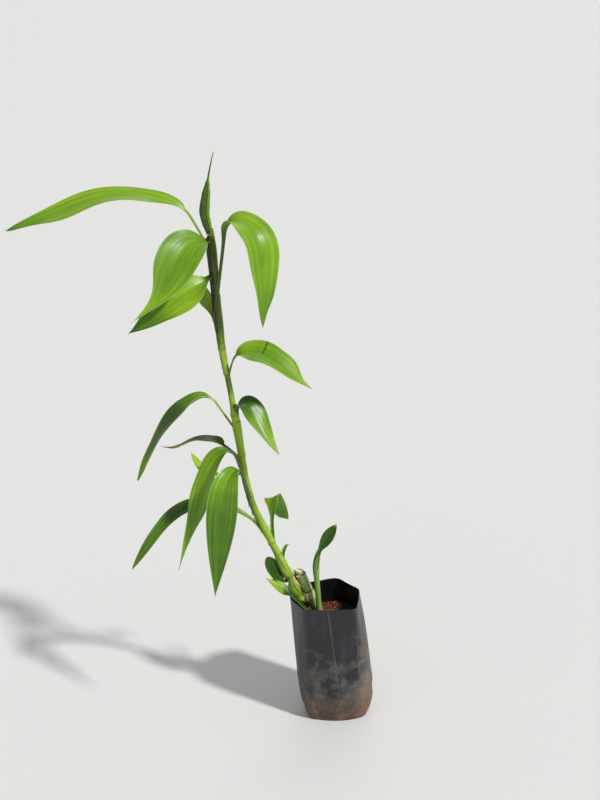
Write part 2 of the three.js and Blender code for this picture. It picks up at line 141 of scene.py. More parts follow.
# Leaves, by the same rule and values as the solids, but leaf_19 starts lower, folded round the side shoot,
# and leaf_18 has a broader stalk. margins are (hand, share, span, mm): where an edge stands out or in of
# the plain outline, 1 for the left hand seen from the root. tones are stations along the leaf, from 0,
# deep green, to 1, yellow-green. Besides the leaves' own colour they hold painted shade where a leaf lies
# in shade: the stalks of leaf_3 and leaf_9, the tip of leaf_5, the middles of leaf_8, leaf_14 and
# leaf_18, and leaf_10, leaf_17 and leaf_19; the bright leaf_6 is painted light. lit is painted light too:
# how much yellower the left half is painted. dry is the share of the length that has dried at the tip, and
# loose how far in mm a sheath stands off the shoot.
LEAVES = [{**BLADE, **leaf} for leaf in (
    dict(name="leaf_1", at=396, side=182, turn=8, rise=60, crest=20, fall=-19, droop=0.65,
         length=220, stalk=43, width=28, shape=(0.5, 0.7), roll=(-20, -27),
         margins=[(1, 0.77, 0.36, 7)], waves=2.2,
         tones=[(0, 0.6), (0.3, 0.72), (0.75, 0.78), (0.92, 0.6), (1, 0.35)], lit=-0.04),
    dict(name="leaf_3", at=345, side=-32, turn=-18, rise=81, crest=3, fall=-90, droop=0.52,
         length=204, stalk=74, stalk_width=(6.5, 18), flare=8, bend_at=77, width=35,
         shape=(0.6, 0.9), roll=(12, 28), waves=1.5,
         margins=[(-1, 0.2, 0.2, 2), (-1, 0.72, 0.35, -5.5), (1, 0.88, 0.15, -2)],
         tones=[(0, 0.1), (0.3, 0.12), (0.4, 0.78), (0.6, 0.74), (0.8, 0.6), (1, 0.62)]),
    dict(name="leaf_4", at=402, side=235, turn=-20, rise=5, crest=14, fall=-55, droop=0.4, lift=26,
         length=126, stalk=6, stalk_width=(8, 8), width=43, shape=(0.8, 1.7), roll=(-38, -30),
         margins=[(-1, 0.08, 0.1, -2.5), (-1, 0.7, 0.25, -3)],
         tones=[(0, 0.5), (0.3, 0.6), (0.7, 0.68), (0.9, 0.78), (1, 0.6)]),
    dict(name="leaf_5", at=366, side=222, turn=-27, rise=-15, crest=-18, fall=-32, droop=0.6, lift=5,
         length=102, stalk=6, stalk_width=(8, 8), width=40, shape=(0.8, 1.3), roll=(-32, -35),
         tones=[(0, 0.76), (0.5, 0.78), (0.8, 0.45), (1, 0.35)], lit=-0.08),
    dict(name="leaf_6", at=302, side=150, rise=72, crest=60, fall=20, droop=1,
         length=92, stalk=24, width=28, tones=[(0, 0.85), (1, 0.8)]),
    dict(name="leaf_7", at=262, side=-20, rise=76, crest=14, fall=-36, droop=0.65, lift=2,
         length=115, stalk=25, width=29, roll=(27, 34),
         margins=[(1, 0.64, 0.16, 2.5), (1, 0.86, 0.12, -1.5)], dry=0.03, slit=0.47,
         tones=[(0, 0.2), (0.2, 0.35), (0.3, 0.68), (0.6, 0.62), (0.8, 0.7), (1, 0.82)], lit=0.04),
    dict(name="leaf_8", at=205, side=175, rise=56, crest=-28, fall=-65, droop=0.68,
         length=167, stalk=43, bend=12, width=29, roll=(-10, -30),
         margins=[(1, 0.75, 0.3, 3), (-1, 0.8, 0.3, 3.5)],
         tones=[(0, 0.8), (0.2, 0.7), (0.3, 0.66), (0.4, 0.5), (0.5, 0.27), (0.72, 0.4), (0.9, 0.66),
                (1, 0.7)]),
    dict(name="leaf_9", at=212, side=-35, rise=92, crest=-5, fall=-56, droop=0.3, lift=15,
         length=90, stalk=16, stalk_width=(6, 10), bend_at=23, width=27, shape=(0.5, 1.1),
         roll=(10, 30), margins=[(-1, 0.58, 0.45, -5), (1, 0.3, 0.25, 1.5)], dry=0.04, ribs=1.2,
         tones=[(0, 0.15), (0.28, 0.12), (0.42, 0.42), (0.55, 0.62), (0.8, 0.72), (1, 0.78)]),
    dict(name="leaf_10", at=172, side=145, rise=27, crest=8, fall=-30, droop=0.6, lift=28,
         length=112, stalk=25, width=20, shape=(0.5, 1.4), roll=(0, -15), dry=0.2,
         tones=[(0, 0.2), (0.4, 0.3), (0.6, 0.3), (0.8, 0.7), (1, 0.9)]),
    dict(name="leaf_11", at=156, side=165, rise=-12, crest=12, fall=64, droop=1,
         length=65, stalk=24, width=12, shape=(0.6, 0.8), roll=(0, -35),
         tones=[(0, 0.6), (0.6, 0.9), (1, 0.85)]),
    dict(name="leaf_12", at=148, side=219, rise=70, crest=-16, fall=-67, droop=0.28,
         length=178, stalk=41, width=31, shape=(0.6, 1.4),
         margins=[(1, 0.55, 0.22, 2), (1, 0.82, 0.2, -2)], dry=0.04, waves=3, ribs=3.4,
         tones=[(0, 0.1), (0.24, 0.4), (0.4, 0.66), (0.7, 0.66), (0.9, 0.78), (1, 0.95)], lit=-0.04),
    dict(name="leaf_13", at=128, side=246, rise=61, crest=0, fall=-76, droop=0.32,
         length=192, stalk=50, width=34, shape=(0.8, 1.2), waves=1.2, ribs=4.5,
         tones=[(0, 0.1), (0.25, 0.3), (0.32, 0.68), (0.42, 0.68), (0.47, 0.55), (0.75, 0.5), (1, 0.45)]),
    dict(name="leaf_14", at=60, side=184, turn=2, rise=60, crest=42, fall=-55, droop=0.75, loose=3,
         length=209, stalk=40, width=19, shape=(1, 0.8), roll=(-20, -30),
         margins=[(1, 0.68, 0.32, -2.2), (-1, 0.85, 0.2, 2)],
         tones=[(0, 0.7), (0.3, 0.65), (0.42, 0.25), (0.65, 0.25), (0.72, 0.54), (1, 0.5)]),
    dict(name="leaf_15", at=72, side=115, turn=-75, rise=91, crest=-40, fall=-70, droop=0.8,
         length=84, stalk=28, stalk_width=(5, 5), bend_at=52, bend=7, width=28, shape=(0.8, 0.03),
         roll=(-45, 0), waves=0.6,
         tones=[(0, 0.5), (0.4, 0.6), (0.6, 0.7), (0.7, 0.62), (0.9, 0.62), (1, 0.8)]),
    dict(name="leaf_16", at=52, side=60, turn=-30, rise=88, crest=30, fall=-10, droop=1,
         length=20, stalk=12, width=4, tones=[(0, 0.4), (1, 0.5)]),
    dict(name="leaf_17", at=25, side=190, turn=-20, rise=8, crest=58, fall=64, droop=0.8, loose=5,
         length=41, stalk=9, width=17, shape=(0.5, 0.5), roll=(-45, -45),
         tones=[(0, 0.4), (0.3, 0.14), (1, 0.1)]),
    dict(name="leaf_18", root=(-25, -9, 108), side=182, rise=50, crest=37, fall=36, droop=1,
         length=73, stalk=40, stalk_width=(5, 8), flare=1.5, width=13, roll=(-30, -40),
         tones=[(0, 0.85), (0.14, 0.8), (0.25, 0.1), (0.62, 0.12), (0.7, 0.66), (1, 0.85)]),
    dict(name="leaf_19", root=(-23.6, -12, 170.7), side=15, rise=84, crest=60, fall=55, droop=1,
         length=51.5, stalk=20, bend_at=15, bend=11, stalk_width=(9.5, 6.2), flare=1.5, width=13,
         shape=(0.7, 0.8), roll=(40, 55), dry=0.03, held=True,
         tones=[(0, 0.4), (0.3, 0.36), (0.5, 0.16), (1, 0.12)]),
)]
LEAF_ROWS = 150
LEAF_COLUMNS = 33
LEAF_THICKNESS = 0.45
# Ribs stand about 4.5 mm apart across a full blade. Ribs and waves rise by a share of half its width.
RIB_SPACING = 4.5
RIB_HEIGHT = 0.0028
WAVE_HEIGHT = 0.09

# Scraps of dried sheath: limb, how far up it, which way round it in degrees (0 to the right, 270 to the
# front), tilt off the limb, length, width. A negative length hangs down.
SCRAPS = [
    ("cane", 36, 236, 8, -8.5, 5), ("cane", 37, 205, 20, -5, 4), ("cane", 60, 184, 72, 5.5, 3.5),
    ("cane", 60.5, 160, 35, 3, 4), ("cane", 58.6, 222, 8, -2, 4.5), ("cane", 58.6, 250, 6, -1.5, 3),
    ("cane", 3, 255, 12, -3.5, 3), ("shoot", 33, 322, 6, -15, 2.6), ("shoot", 32, 20, 14, -4, 3),
    ("shoot", 92, 350, 52, 6.5, 1.6), ("shoot", 78, 200, 10, -4, 2.5), ("shoot", 97, 185, 12, -7, 3.5),
    ("shoot", 110, 200, 16, -6, 3), ("shoot", 118, 170, 12, -8, 4), ("shoot", 126, 190, 18, -5, 3),
    ("shoot", 103, 160, 20, 5, 3),
]


# Rules shared with the part's source

def eased(x, a, b):
    """A smooth step from 0 to 1 as x goes from a to b."""
    t = min(max((x - a) / (b - a), 0.0), 1.0)
    return t * t * (3 - 2 * t)


def heading(plan, climb):
    """The direction at a plan direction and a climb over level, in degrees."""
    p, c = math.radians(plan), math.radians(climb)
    return np.array([math.cos(c) * math.cos(p), math.cos(c) * math.sin(p), math.sin(c)])


def read(table, s):
    """A value read off a table of stations, eased from one to the next."""
    s = min(s, table[-1][0])
    for (low, a), (high, b) in zip(table, table[1:]):
        if s <= high:
            return a + (b - a) * eased(s, low, high)
    return table[-1][1]


def walked(limb):
    """A limb's centre line, walked up in short steps by its lean."""
    line = [np.array(limb["foot"], float)]
    for i in range(math.ceil(limb["leans"][-1][0] / STEP)):
        line.append(line[-1] + STEP * heading(180, 90 - read(limb["leans"], (i + 0.5) * STEP)))
    return np.array(line)


def point_along(limb, s):
    """The point at s along a limb's centre line."""
    line = limb["line"]
    index = min(max(s / STEP, 0), len(line) - 1.001)
    low = int(index)
    return line[low] + (line[low + 1] - line[low]) * (index - low)


def direction_along(limb, s):
    """The unit direction in which a limb runs at s."""
    ahead = point_along(limb, s + STEP) - point_along(limb, s - STEP)
    return ahead / np.linalg.norm(ahead)


def radius_along(limb, s):
    """A limb's radius at s, swollen at its rings."""
    swells = [max(0.0, 1 - abs(s - ring) / RING_WIDTH) for ring in limb.get("rings", ())]
    return read(limb["radii"], s) + limb.get("swell", 0) * max(swells, default=0.0)


def turned(vector, axis, degrees):
    """vector turned round a unit axis."""
    a = math.radians(degrees)
    across = np.cross(axis, vector)
    return vector * math.cos(a) + across * math.sin(a) + axis * np.dot(axis, vector) * (1 - math.cos(a))


def leaf_midrib(leaf, rows):
    """A leaf's midrib from root to tip: centres, across and up vectors of each half, unit normals, and
    how far each edge reaches as a share of the plain half width, with the mark of a slit."""
    shape = leaf["shape"]
    full = shape[0] / sum(shape)
    peak = full ** shape[0] * (1 - full) ** shape[1]
    if "root" in leaf:
        point = np.array(leaf["root"], float)
    else:
        inset = leaf["root_inset"] * radius_along(SHOOT, leaf["at"])
        point = point_along(SHOOT, leaf["at"]) + inset * heading(leaf["side"], 0)
    length, stalk = leaf["length"], leaf["stalk"]
    bend_at = leaf.get("bend_at", stalk)
    reach = min(leaf["bend"], bend_at)
    thin, thick = leaf["stalk_width"]
    step = length / (rows - 1)
    centres, across, lifted, normals, reaches = [], [], [], [], []
    for i in range(rows):
        s = i * step
        t = min(max((s - stalk) / (length - stalk), 0.0), 1.0)
        climb = (
            leaf["rise"]
            + (leaf["crest"] - leaf["rise"]) * eased(s, bend_at - reach, bend_at + reach)
            + (leaf["fall"] - leaf["crest"]) * eased(t, 0, leaf["droop"])
            + leaf["lift"] * eased(t, min(leaf["droop"], leaf["last_lift"]), 1)
        )
        plan = leaf["side"] + leaf["turn"] * t
        along = heading(plan, climb)
        roll = leaf["roll"][0] + (leaf["roll"][1] - leaf["roll"][0]) * t
        roll *= 1 if leaf["held"] else eased(s, 0, stalk)
        side = turned(np.cross(UP, heading(plan, 0)), along, roll)
        normal = np.cross(along, side)
        blade = leaf["width"] * t ** shape[0] * (1 - t) ** shape[1] / peak
        stem = thin + (thick - thin) * min(s / stalk, 1) ** leaf["flare"]
        stem *= 1 - eased(t, 0, leaf["stalk_fade"])
        half = max(math.hypot(blade, stem), leaf["tip_width"]) / 2
        edges = {1: half, -1: half}
        for hand, at, span, by in leaf["margins"] if t > 0 else ():
            edges[hand] += by * eased(1 - abs(t - at) / span, 0, 1)
        slit = 0.0
        if "slit" in leaf:
            slit = max(0.0, 1 - abs(s / length - leaf["slit"]) / leaf["slit_width"])
        fade = 1 - eased(t, 0, leaf["gutter_fade"])
        gutter = math.radians(leaf["gutter"] + (leaf["stalk_gutter"] - leaf["gutter"]) * fade)
        centres.append(point.copy())
        across.append(side * half * math.cos(gutter))
        lifted.append(normal * half * math.sin(gutter))
        normals.append(normal)
        least = leaf["tip_width"] / 2
        reaches.append([max(edges[1], least) / half, max(edges[-1], least) / half, slit])
        point = point + along * step
    return [np.array(rows_of) for rows_of in (centres, across, lifted, normals, reaches)]


def bag_shift(z):
    """How far the bag leans to the left at a height."""
    return BAG["mouth_lean"] * (max(z, 0) / BAG["height"]) ** BAG["lean_power"]


def bag_ring(z, inset, per_side, scale=1.0):
    """The bag's outline at a height, with its folds and wrinkles, drawn in by an inset and scaled."""
    risen = eased(z, 0, BAG["height"])
    belly = 1 - max(0.0, 1 - z / BAG["belly_height"]) ** BAG["belly_roundness"]
    radius = BAG["foot_radius"] + (BAG["belly_radius"] - BAG["foot_radius"]) * belly
    radius -= (BAG["belly_radius"] - BAG["mouth_radius"]) * eased(z, BAG["belly_height"], BAG["height"])
    low, high, at_low, at_high = BAG["fold_start"], BAG["height"], BAG["folds_at_belly"], 1
    if z < BAG["fold_start"]:
        low, high, at_low, at_high = 0, BAG["fold_start"], BAG["folds_at_foot"], BAG["folds_at_belly"]
    folds = at_low + (at_high - at_low) * eased(z, low, high)
    corners = []
    for direction, reach, foot_direction, foot_reach in CORNERS:
        angle = math.radians(foot_direction + (direction - foot_direction) * risen)
        at_foot, at_mouth = foot_reach / BAG["foot_radius"], reach / BAG["mouth_radius"]
        out = at_foot + (at_mouth - at_foot) * risen
        corners.append(np.array([out * math.cos(angle), out * math.sin(angle)]))
    flat = []
    for corner, following in zip(corners, corners[1:] + corners[:1]):
        for k in range(per_side):
            folded = corner + (following - corner) * k / per_side
            round_point = folded / np.linalg.norm(folded) * radius
            flat.append(round_point + (folded * radius - round_point) * folds)
    ring = []
    for x, y in rounded_off(np.array(flat), per_side // 6):
        reach = math.hypot(x, y)
        out = (reach + film_relief(math.degrees(math.atan2(y, x)), z) - inset) / reach * scale
        ring.append(np.array([x * out + bag_shift(z), y * out, z]))
    return ring


def rounded_off(points, reach):
    """A closed line of points with its corners softened by a running mean."""
    total = sum(np.roll(points, shift, axis=0) for shift in range(-reach, reach + 1))
    return total / (2 * reach + 1)


def crease_at(turn, z):
    """The height of the creases at a plan direction and a height up the bag, and their mark: a pale line,
    partly worn and partly painted highlight, less painted shade along its left.
    """
    height = wear = 0.0
    off, breadth, depth = CREASE_SHADE
    for at_mouth, at_belly, stands, worn in CREASES:
        crease = at_belly + (at_mouth - at_belly) * eased(z, 50, BAG["height"])
        apart = ((turn - crease + 180) % 360 - 180) * math.radians(1) * BAG["belly_radius"]
        near = math.exp(-((apart / CREASE_WIDTH) ** 2))
        shaded = math.exp(-(((apart + off) / breadth) ** 2))
        height, wear = height + stands * near, wear + worn * (near - depth * shaded)
    return height * eased(z, 12, 45), wear * eased(z, 20, 60)


def film_relief(turn, z):
    """How far the film stands out at a plan direction and height: creases, slack and crumpled foot."""
    around = Vector((math.cos(math.radians(turn)), math.sin(math.radians(turn)), 0))
    depth, fine, tall = SLACK
    out = crease_at(turn, z)[0] + depth * noise.noise(around * fine + Vector((0, 0, z / tall)))
    low = 1 - eased(z, 16, 66)
    for depth, fine, tall, aslant in CRUMPLES:
        place = Vector((around.x * fine, around.y * fine, z / tall + turn / aslant))
        out -= depth * low * abs(noise.noise(place))
    return out * eased(z, 0.5, 9)


for limb in (CANE, SHOOT, SIDE_SHOOT, FORK_SHADE):
    limb["line"] = walked(limb)
SPEAR["line"] = walked({**SPEAR, "foot": SHOOT["line"][-1] + UP * SPEAR["lift"]})
LAST_SHEATH["line"] = np.concatenate([SHOOT["line"], SPEAR["line"][1:]])


# Meshes

def new_piece(name, mesh, nodes):
    """Links a finished mesh as a piece that stands for some CAD nodes."""
    piece = bpy.data.objects.new(name, mesh)
    bpy.context.scene.collection.objects.link(piece)
    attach(piece, "root")
    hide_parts(*nodes)
    return piece


def loft_mesh(name, rings, material, strip=False, marks=None):
    """A closed mesh through rings of equal size, with UVs round and along it and marks on its points.
    Its ends are closed by one face each, or for a thin strip by faces between its two skins."""
    rings = np.asarray(rings, float)
    rows, count = rings.shape[:2]
    faces = [
        (i * count + j, i * count + (j + 1) % count, (i + 1) * count + (j + 1) % count, (i + 1) * count + j)
        for i in range(rows - 1) for j in range(count)
    ]
    walls = len(faces)
    for start, back in ((0, True), ((rows - 1) * count, False)):
        if strip:
            for j in range(count // 2 - 1):
                face = (start + j, start + j + 1, start + count - 2 - j, start + count - 1 - j)
                faces.append(face[::-1] if back else face)
        else:
            face = tuple(range(start, start + count))
            faces.append(face[::-1] if back else face)
    mesh = bpy.data.meshes.new(name)
    mesh.from_pydata((rings.reshape(-1, 3) * MM).tolist(), [], faces)
    corners = mesh.uv_layers.new(name="UVMap").data
    for face in mesh.polygons:
        wraps = face.index < walls and {0, count - 1} <= {v % count for v in face.vertices}
        for loop, vertex in zip(face.loop_indices, face.vertices):
            column = count if wraps and vertex % count == 0 else vertex % count
            corners[loop].uv = (column / count, (vertex // count) / (rows - 1))
    for key, values in (marks or {}).items():
        mark = mesh.attributes.new(key, "FLOAT", "POINT")
        mark.data.foreach_set("value", np.asarray(values, np.float32).ravel())
    outward = bmesh.new()
    outward.from_mesh(mesh)
    bmesh.ops.recalc_face_normals(outward, faces=outward.faces)
    outward.to_mesh(mesh)
    outward.free()
    mesh.polygons.foreach_set("use_smooth", [True] * len(mesh.polygons))
    mesh.materials.append(material)
    return mesh


def axes_at(limb, s, towards=(1.0, 0.0, 0.0)):
    """Two unit vectors across a limb at s: the first as near as can be to a given direction."""
    along = direction_along(limb, s)
    first = towards - along * np.dot(towards, along)
    first = first / np.linalg.norm(first)
    return first, np.cross(along, first)


def ray_at(axes, angle):
    """The direction at an angle round a limb."""
    return axes[0] * math.cos(angle) + axes[1] * math.sin(angle)


def rough_at(angle, fine, height):
    """Noise at an angle round a limb and a height along it."""
    return noise.noise(Vector((math.cos(angle) * fine, math.sin(angle) * fine, height)))


def painted_side_light(ray):
    """Painted light: how much yellower a stem is painted on a side, most where it faces the key lamp."""
    return 0.3 * (ray[0] * 0.9 - ray[1] * 0.2)


# Node trees

# Kinds of node that come up often.
MATH, VECTOR_MATH, RANGE = "ShaderNodeMath", "ShaderNodeVectorMath", "ShaderNodeMapRange"
NOISE, MAPPING, ATTRIBUTE = "ShaderNodeTexNoise", "ShaderNodeMapping", "ShaderNodeAttribute"
MIX, STORE = "ShaderNodeMix", "GeometryNodeStoreNamedAttribute"
# A colour mix's sockets go by their place in its list, because several share a name.
AMOUNT, UNDER, OVER, MIXED = 0, 6, 7, 2


def add_node(tree, kind, sockets=(), **settings):
    """Adds a node with its settings, and sets or links its inputs, given in order or by key. A node given
    as a value stands for its first output, and a list links several to one input."""
    made = tree.nodes.new(kind)
    for key, value in settings.items():
        setattr(made, key, value)
    for key, value in sockets.items() if isinstance(sockets, dict) else enumerate(sockets):
        for one in value if isinstance(value, list) else [value]:
            one = one.outputs[0] if isinstance(one, bpy.types.Node) else one
            if isinstance(one, bpy.types.NodeSocket):
                tree.links.new(one, made.inputs[key])
            else:
                made.inputs[key].default_value = one
    return made


def colour(text):
    """An sRGB hex colour as linear RGBA."""
    parts = [int(text[i:i + 2], 16) / 255 for i in (1, 3, 5)]
    return tuple(p / 12.92 if p <= 0.04045 else ((p + 0.055) / 1.055) ** 2.4 for p in parts) + (1.0,)


def new_material(name):
    """A material without nodes, and the function that adds them to it."""
    material = bpy.data.materials.new(name)
    material.use_nodes = True
    material.node_tree.nodes.clear()
    return material, partial(add_node, material.node_tree)


def bumped(add, skin, roughness, pattern, strength, depth, ior=1.5):
    """A skin's shader, with a fine relief that follows a pattern to a depth in metres."""
    relief = add("ShaderNodeBump", {"Strength": strength, "Distance": depth, "Height": pattern})
    return add("ShaderNodeBsdfPrincipled", {
        "Base Color": skin, "Roughness": roughness, "IOR": ior, "Normal": relief})


def new_tree(name, inputs, output):
    """An empty tree for Geometry Nodes, the function that adds nodes to it and its named inputs."""
    tree = bpy.data.node_groups.new(name, "GeometryNodeTree")
    for label, kind in inputs:
        tree.interface.new_socket(label, in_out="INPUT", socket_type="NodeSocket" + kind)
    tree.interface.new_socket(output, in_out="OUTPUT", socket_type="NodeSocketGeometry")
    add = partial(add_node, tree)
    return tree, add, add("NodeGroupInput").outputs


def grown(name, guide, tree, values):
    """The plain mesh that a node tree makes of a guide mesh."""
    carrier = bpy.data.objects.new(name + "_guide", guide)
    bpy.context.scene.collection.objects.link(carrier)
    modifier = carrier.modifiers.new("tree", "NODES")
    modifier.node_group = tree
    named = {item.name: item.identifier for item in tree.interface.items_tree if item.in_out == "INPUT"}
    for key, value in values.items():
        modifier[named[key]] = value
    bpy.context.view_layer.update()
    ready = carrier.evaluated_get(bpy.context.evaluated_depsgraph_get())
    mesh = bpy.data.meshes.new_from_object(ready)
    mesh.name = name
    carrier.modifiers.clear()
    bpy.data.objects.remove(carrier)
    return mesh


# Materials

def leaf_material():
    """Fresh dracaena leaf: a waxy skin with fine lengthwise veins gives a soft streaked gloss, the hard
    edge is pale, and some light comes through."""
    material, add = new_material("dracaena_leaf_waxy")
    uv = add("ShaderNodeUVMap", uv_map="UVMap")
    place = add("ShaderNodeTexCoord").outputs["Object"]
    along, across = add("ShaderNodeSeparateXYZ", [uv]).outputs[:2]
    tone, dry, under, slit = (
        add(ATTRIBUTE, attribute_name=mark).outputs["Fac"] for mark in ("tone", "dry", "underside", "slit")
    )
    # Streaks about 4 mm wide and veins about 1 mm wide on a 30 mm blade, both drawn out along it, and
    # blotches about 40 mm across.
    streaks, veins = (
        add(NOISE, {"Vector": add(MAPPING, {0: uv, "Scale": drawn}), "Scale": 1.0, "Detail": 1.0})
        for drawn in ((1.3, 7, 1), (2.2, 34, 1))
    )
    blotches = add(NOISE, {"Vector": place, "Scale": 24.0, "Detail": 2.0})
    level = tone
    for pattern, by in ((streaks, 0.07), (veins, 0.075), (blotches, 0.08)):
        level = add(MATH, [level, add(RANGE, [pattern, 0.3, 0.7, -by, by])], operation="ADD")
    green = add("ShaderNodeValToRGB", [level])
    ramp = green.color_ramp.elements
    ramp[0].color, ramp[1].color = colour("#243f0a"), colour("#b6d430")
    for station, shade in ((0.35, "#45700c"), (0.6, "#6d9d14"), (0.8, "#95bc22")):
        ramp.new(station).color = colour(shade)
    # The edge is pale and hard, under a millimetre wide, and the foot of the blade is paler.
    side = add(MATH, [add(MATH, [across, 0.5], operation="SUBTRACT")], operation="ABSOLUTE")
    rim = add(RANGE, [side, 0.47, 0.497, 0.0, 0.45])
    foot = add(RANGE, [along, 0.0, 0.25, 0.2, 0.0])
    # A dried tip goes from yellow to brown.
    from_tip = add(MATH, [1.0, along], operation="SUBTRACT")
    wilt = add(MATH, [dry, 0.001], operation="ADD")
    share = add(MATH, [from_tip, wilt], operation="DIVIDE")
    yellow = add(RANGE, [share, 1.0, 2.2, 0.85, 0.0])
    brown = add(RANGE, [share, 0.5, 1.0, 0.9, 0.0])
    # The underside is duller and greyer.
    grey = add(MATH, [under, 0.45], operation="MULTIPLY")
    skin = green
    for amount, over in ((rim, "#c3d894"), (foot, "#a3c25a"), (yellow, "#b9a63a"), (brown, "#a5713f"),
                         (slit, "#1a2210"), (grey, "#6f9152")):
        skin = add(MIX, {AMOUNT: amount, UNDER: skin, OVER: colour(over)}, data_type="RGBA").outputs[MIXED]
    gloss = add(RANGE, [under, 0.0, 1.0, 0.36, 0.6])
    surface = bumped(add, skin, gloss, veins, 0.3, 0.0003)
    through = add("ShaderNodeBsdfTranslucent", {"Color": skin})
    leaf = add("ShaderNodeMixShader", [0.25, surface, through])
    add("ShaderNodeOutputMaterial", {"Surface": leaf})
    return material


def stem_material(name, dark, light, ring, roughness, speckle):
    """Living dracaena stem: a smooth waxy skin with faint lengthwise grain, speckles and a scar line at
    each ring."""
    material, add = new_material(name)
    uv = add("ShaderNodeUVMap", uv_map="UVMap")
    place = add("ShaderNodeTexCoord").outputs["Object"]
    tone, scar = (add(ATTRIBUTE, attribute_name=mark).outputs["Fac"] for mark in ("tone", "scar"))
    # Grain lines about 1 mm apart round a 24 mm girth.
    lengthwise = add(MAPPING, {0: uv, "Scale": (22, 3, 1)})
    grain = add(NOISE, {"Vector": lengthwise, "Scale": 1.0, "Detail": 3.0})
    # Speckles are about 1.5 mm across, a little coarser than the real ones, so that they show.
    spots = add(NOISE, {"Vector": place, "Scale": 620.0, "Detail": 2.0})
    level = add(MATH, [tone, add(RANGE, [grain, 0.3, 0.7, -0.1, 0.1])], operation="ADD")
    speck = add(RANGE, [spots, 0.35, 0.65, -speckle, speckle])
    level = add(MATH, [level, speck], operation="ADD", use_clamp=True)
    worn = add(RANGE, [spots, 0.68, 0.76, 0.0, 0.5])
    skin = colour(dark)
    for amount, over in ((level, light), (scar, ring), (worn, "#9a7a45")):
        skin = add(MIX, {AMOUNT: amount, UNDER: skin, OVER: colour(over)}, data_type="RGBA").outputs[MIXED]
    add("ShaderNodeOutputMaterial", {"Surface": bumped(add, skin, roughness, grain, 0.4, 0.0003, 1.45)})
    return material


def dried_material(name, dark, light):
    """Dried plant tissue: matt, fibrous, straw to pinkish tan."""
    material, add = new_material(name)
    place = add("ShaderNodeTexCoord").outputs["Object"]
    # Fibres about 1 mm thick, drawn out upright to some 6 mm.
    fibres = add(MAPPING, {0: place, "Scale": (900, 900, 160)})
    grain = add(NOISE, {"Vector": fibres, "Scale": 1.0, "Detail": 3.0})
    tints = {AMOUNT: grain, UNDER: colour(dark), OVER: colour(light)}
    skin = add(MIX, tints, data_type="RGBA").outputs[MIXED]
    add("ShaderNodeOutputMaterial", {"Surface": bumped(add, skin, 0.85, grain, 0.6, 0.0004)})
    return material


def film_material():
    """Blown black polythene film: satin and bluish black, with faint pale streaks that are partly scuff
    marks and partly painted sheen, and dried soil smeared low down.
    """
    material, add = new_material("polythene_film_black")
    place = add("ShaderNodeTexCoord").outputs["Object"]
    aside, _, height = add("ShaderNodeSeparateXYZ", [place]).outputs
    wear, inside = (add(ATTRIBUTE, attribute_name=mark).outputs["Fac"] for mark in ("wear", "inside"))
    # Dried soil: smears 10 to 25 mm across, thick at the foot. It is laid on thicker on the side that faces
    # right, towards the key lamp, and that is partly dried soil and partly painted light.
    smears = add(NOISE, {
        "Vector": place, "Scale": 62.0, "Detail": 9.0, "Roughness": 0.72, "Distortion": 0.15})
    dust_and_side_light = smears
    for way, start, end, at_start, at_end in (
        (height, 0.0, 0.06, 0.17, 0.0), (height, 0.05, 0.12, 0.0, -0.14), (aside, 0.014, 0.034, 0.0, 0.27),
    ):
        dust_and_side_light = add(MATH, [dust_and_side_light, add(RANGE, [way, start, end, at_start, at_end])], operation="ADD")
    dust_and_side_light = add(RANGE, [dust_and_side_light, 0.46, 0.8, 0.0, 0.8])
    grit = add(RANGE, [add(NOISE, {"Vector": place, "Scale": 700.0, "Detail": 3.0}), 0.35, 0.65, 0.5, 1.0])
    gritty_dust_and_side_light = add(MATH, [dust_and_side_light, grit], operation="MULTIPLY")
    # Faint pale streaks about 10 mm wide, drawn out near upright to some 45 mm: partly scuff marks and
    # partly painted satin sheen.
    drawn = add(MAPPING, {0: place, "Scale": (95, 95, 22), "Rotation": (0.3, 0.2, 0)})
    scuffs_and_sheen = add(NOISE, {"Vector": drawn, "Scale": 1.0, "Detail": 5.0})
    pale = add(RANGE, [scuffs_and_sheen, 0.5, 0.8, 0.0, 0.4])
    # A crease is a pale line, partly worn and partly painted highlight, with painted shade along its left.
    shade = add(MATH, [wear, -1.0], operation="MULTIPLY", use_clamp=True)
    line = add(MATH, [wear, 0.75], operation="MULTIPLY", use_clamp=True)
    # The dried soil is redder at the foot.
    tints = {AMOUNT: add(RANGE, [height, 0.0, 0.045]), UNDER: colour("#8a6648"), OVER: colour("#8b7d70")}
    earth = add(MIX, tints, data_type="RGBA").outputs[MIXED]
    skin = colour("#0e1015")
    for amount, over in (
        (smears, colour("#1a1c22")), (pale, colour("#44464c")), (shade, colour("#050506")),
        (line, colour("#56585b")), (gritty_dust_and_side_light, earth), (inside, colour("#0d0d0f")),
    ):
        skin = add(MIX, {AMOUNT: amount, UNDER: skin, OVER: over}, data_type="RGBA").outputs[MIXED]
    matt = add(RANGE, [gritty_dust_and_side_light, 0.0, 0.6, 0.36, 0.85])
    rough = add(MATH, [matt, add(RANGE, [scuffs_and_sheen, 0.3, 0.7, -0.05, 0.12])], operation="ADD")
    add("ShaderNodeOutputMaterial", {"Surface": bumped(add, skin, rough, scuffs_and_sheen, 0.6, 0.0009, 1.51)})
    return material


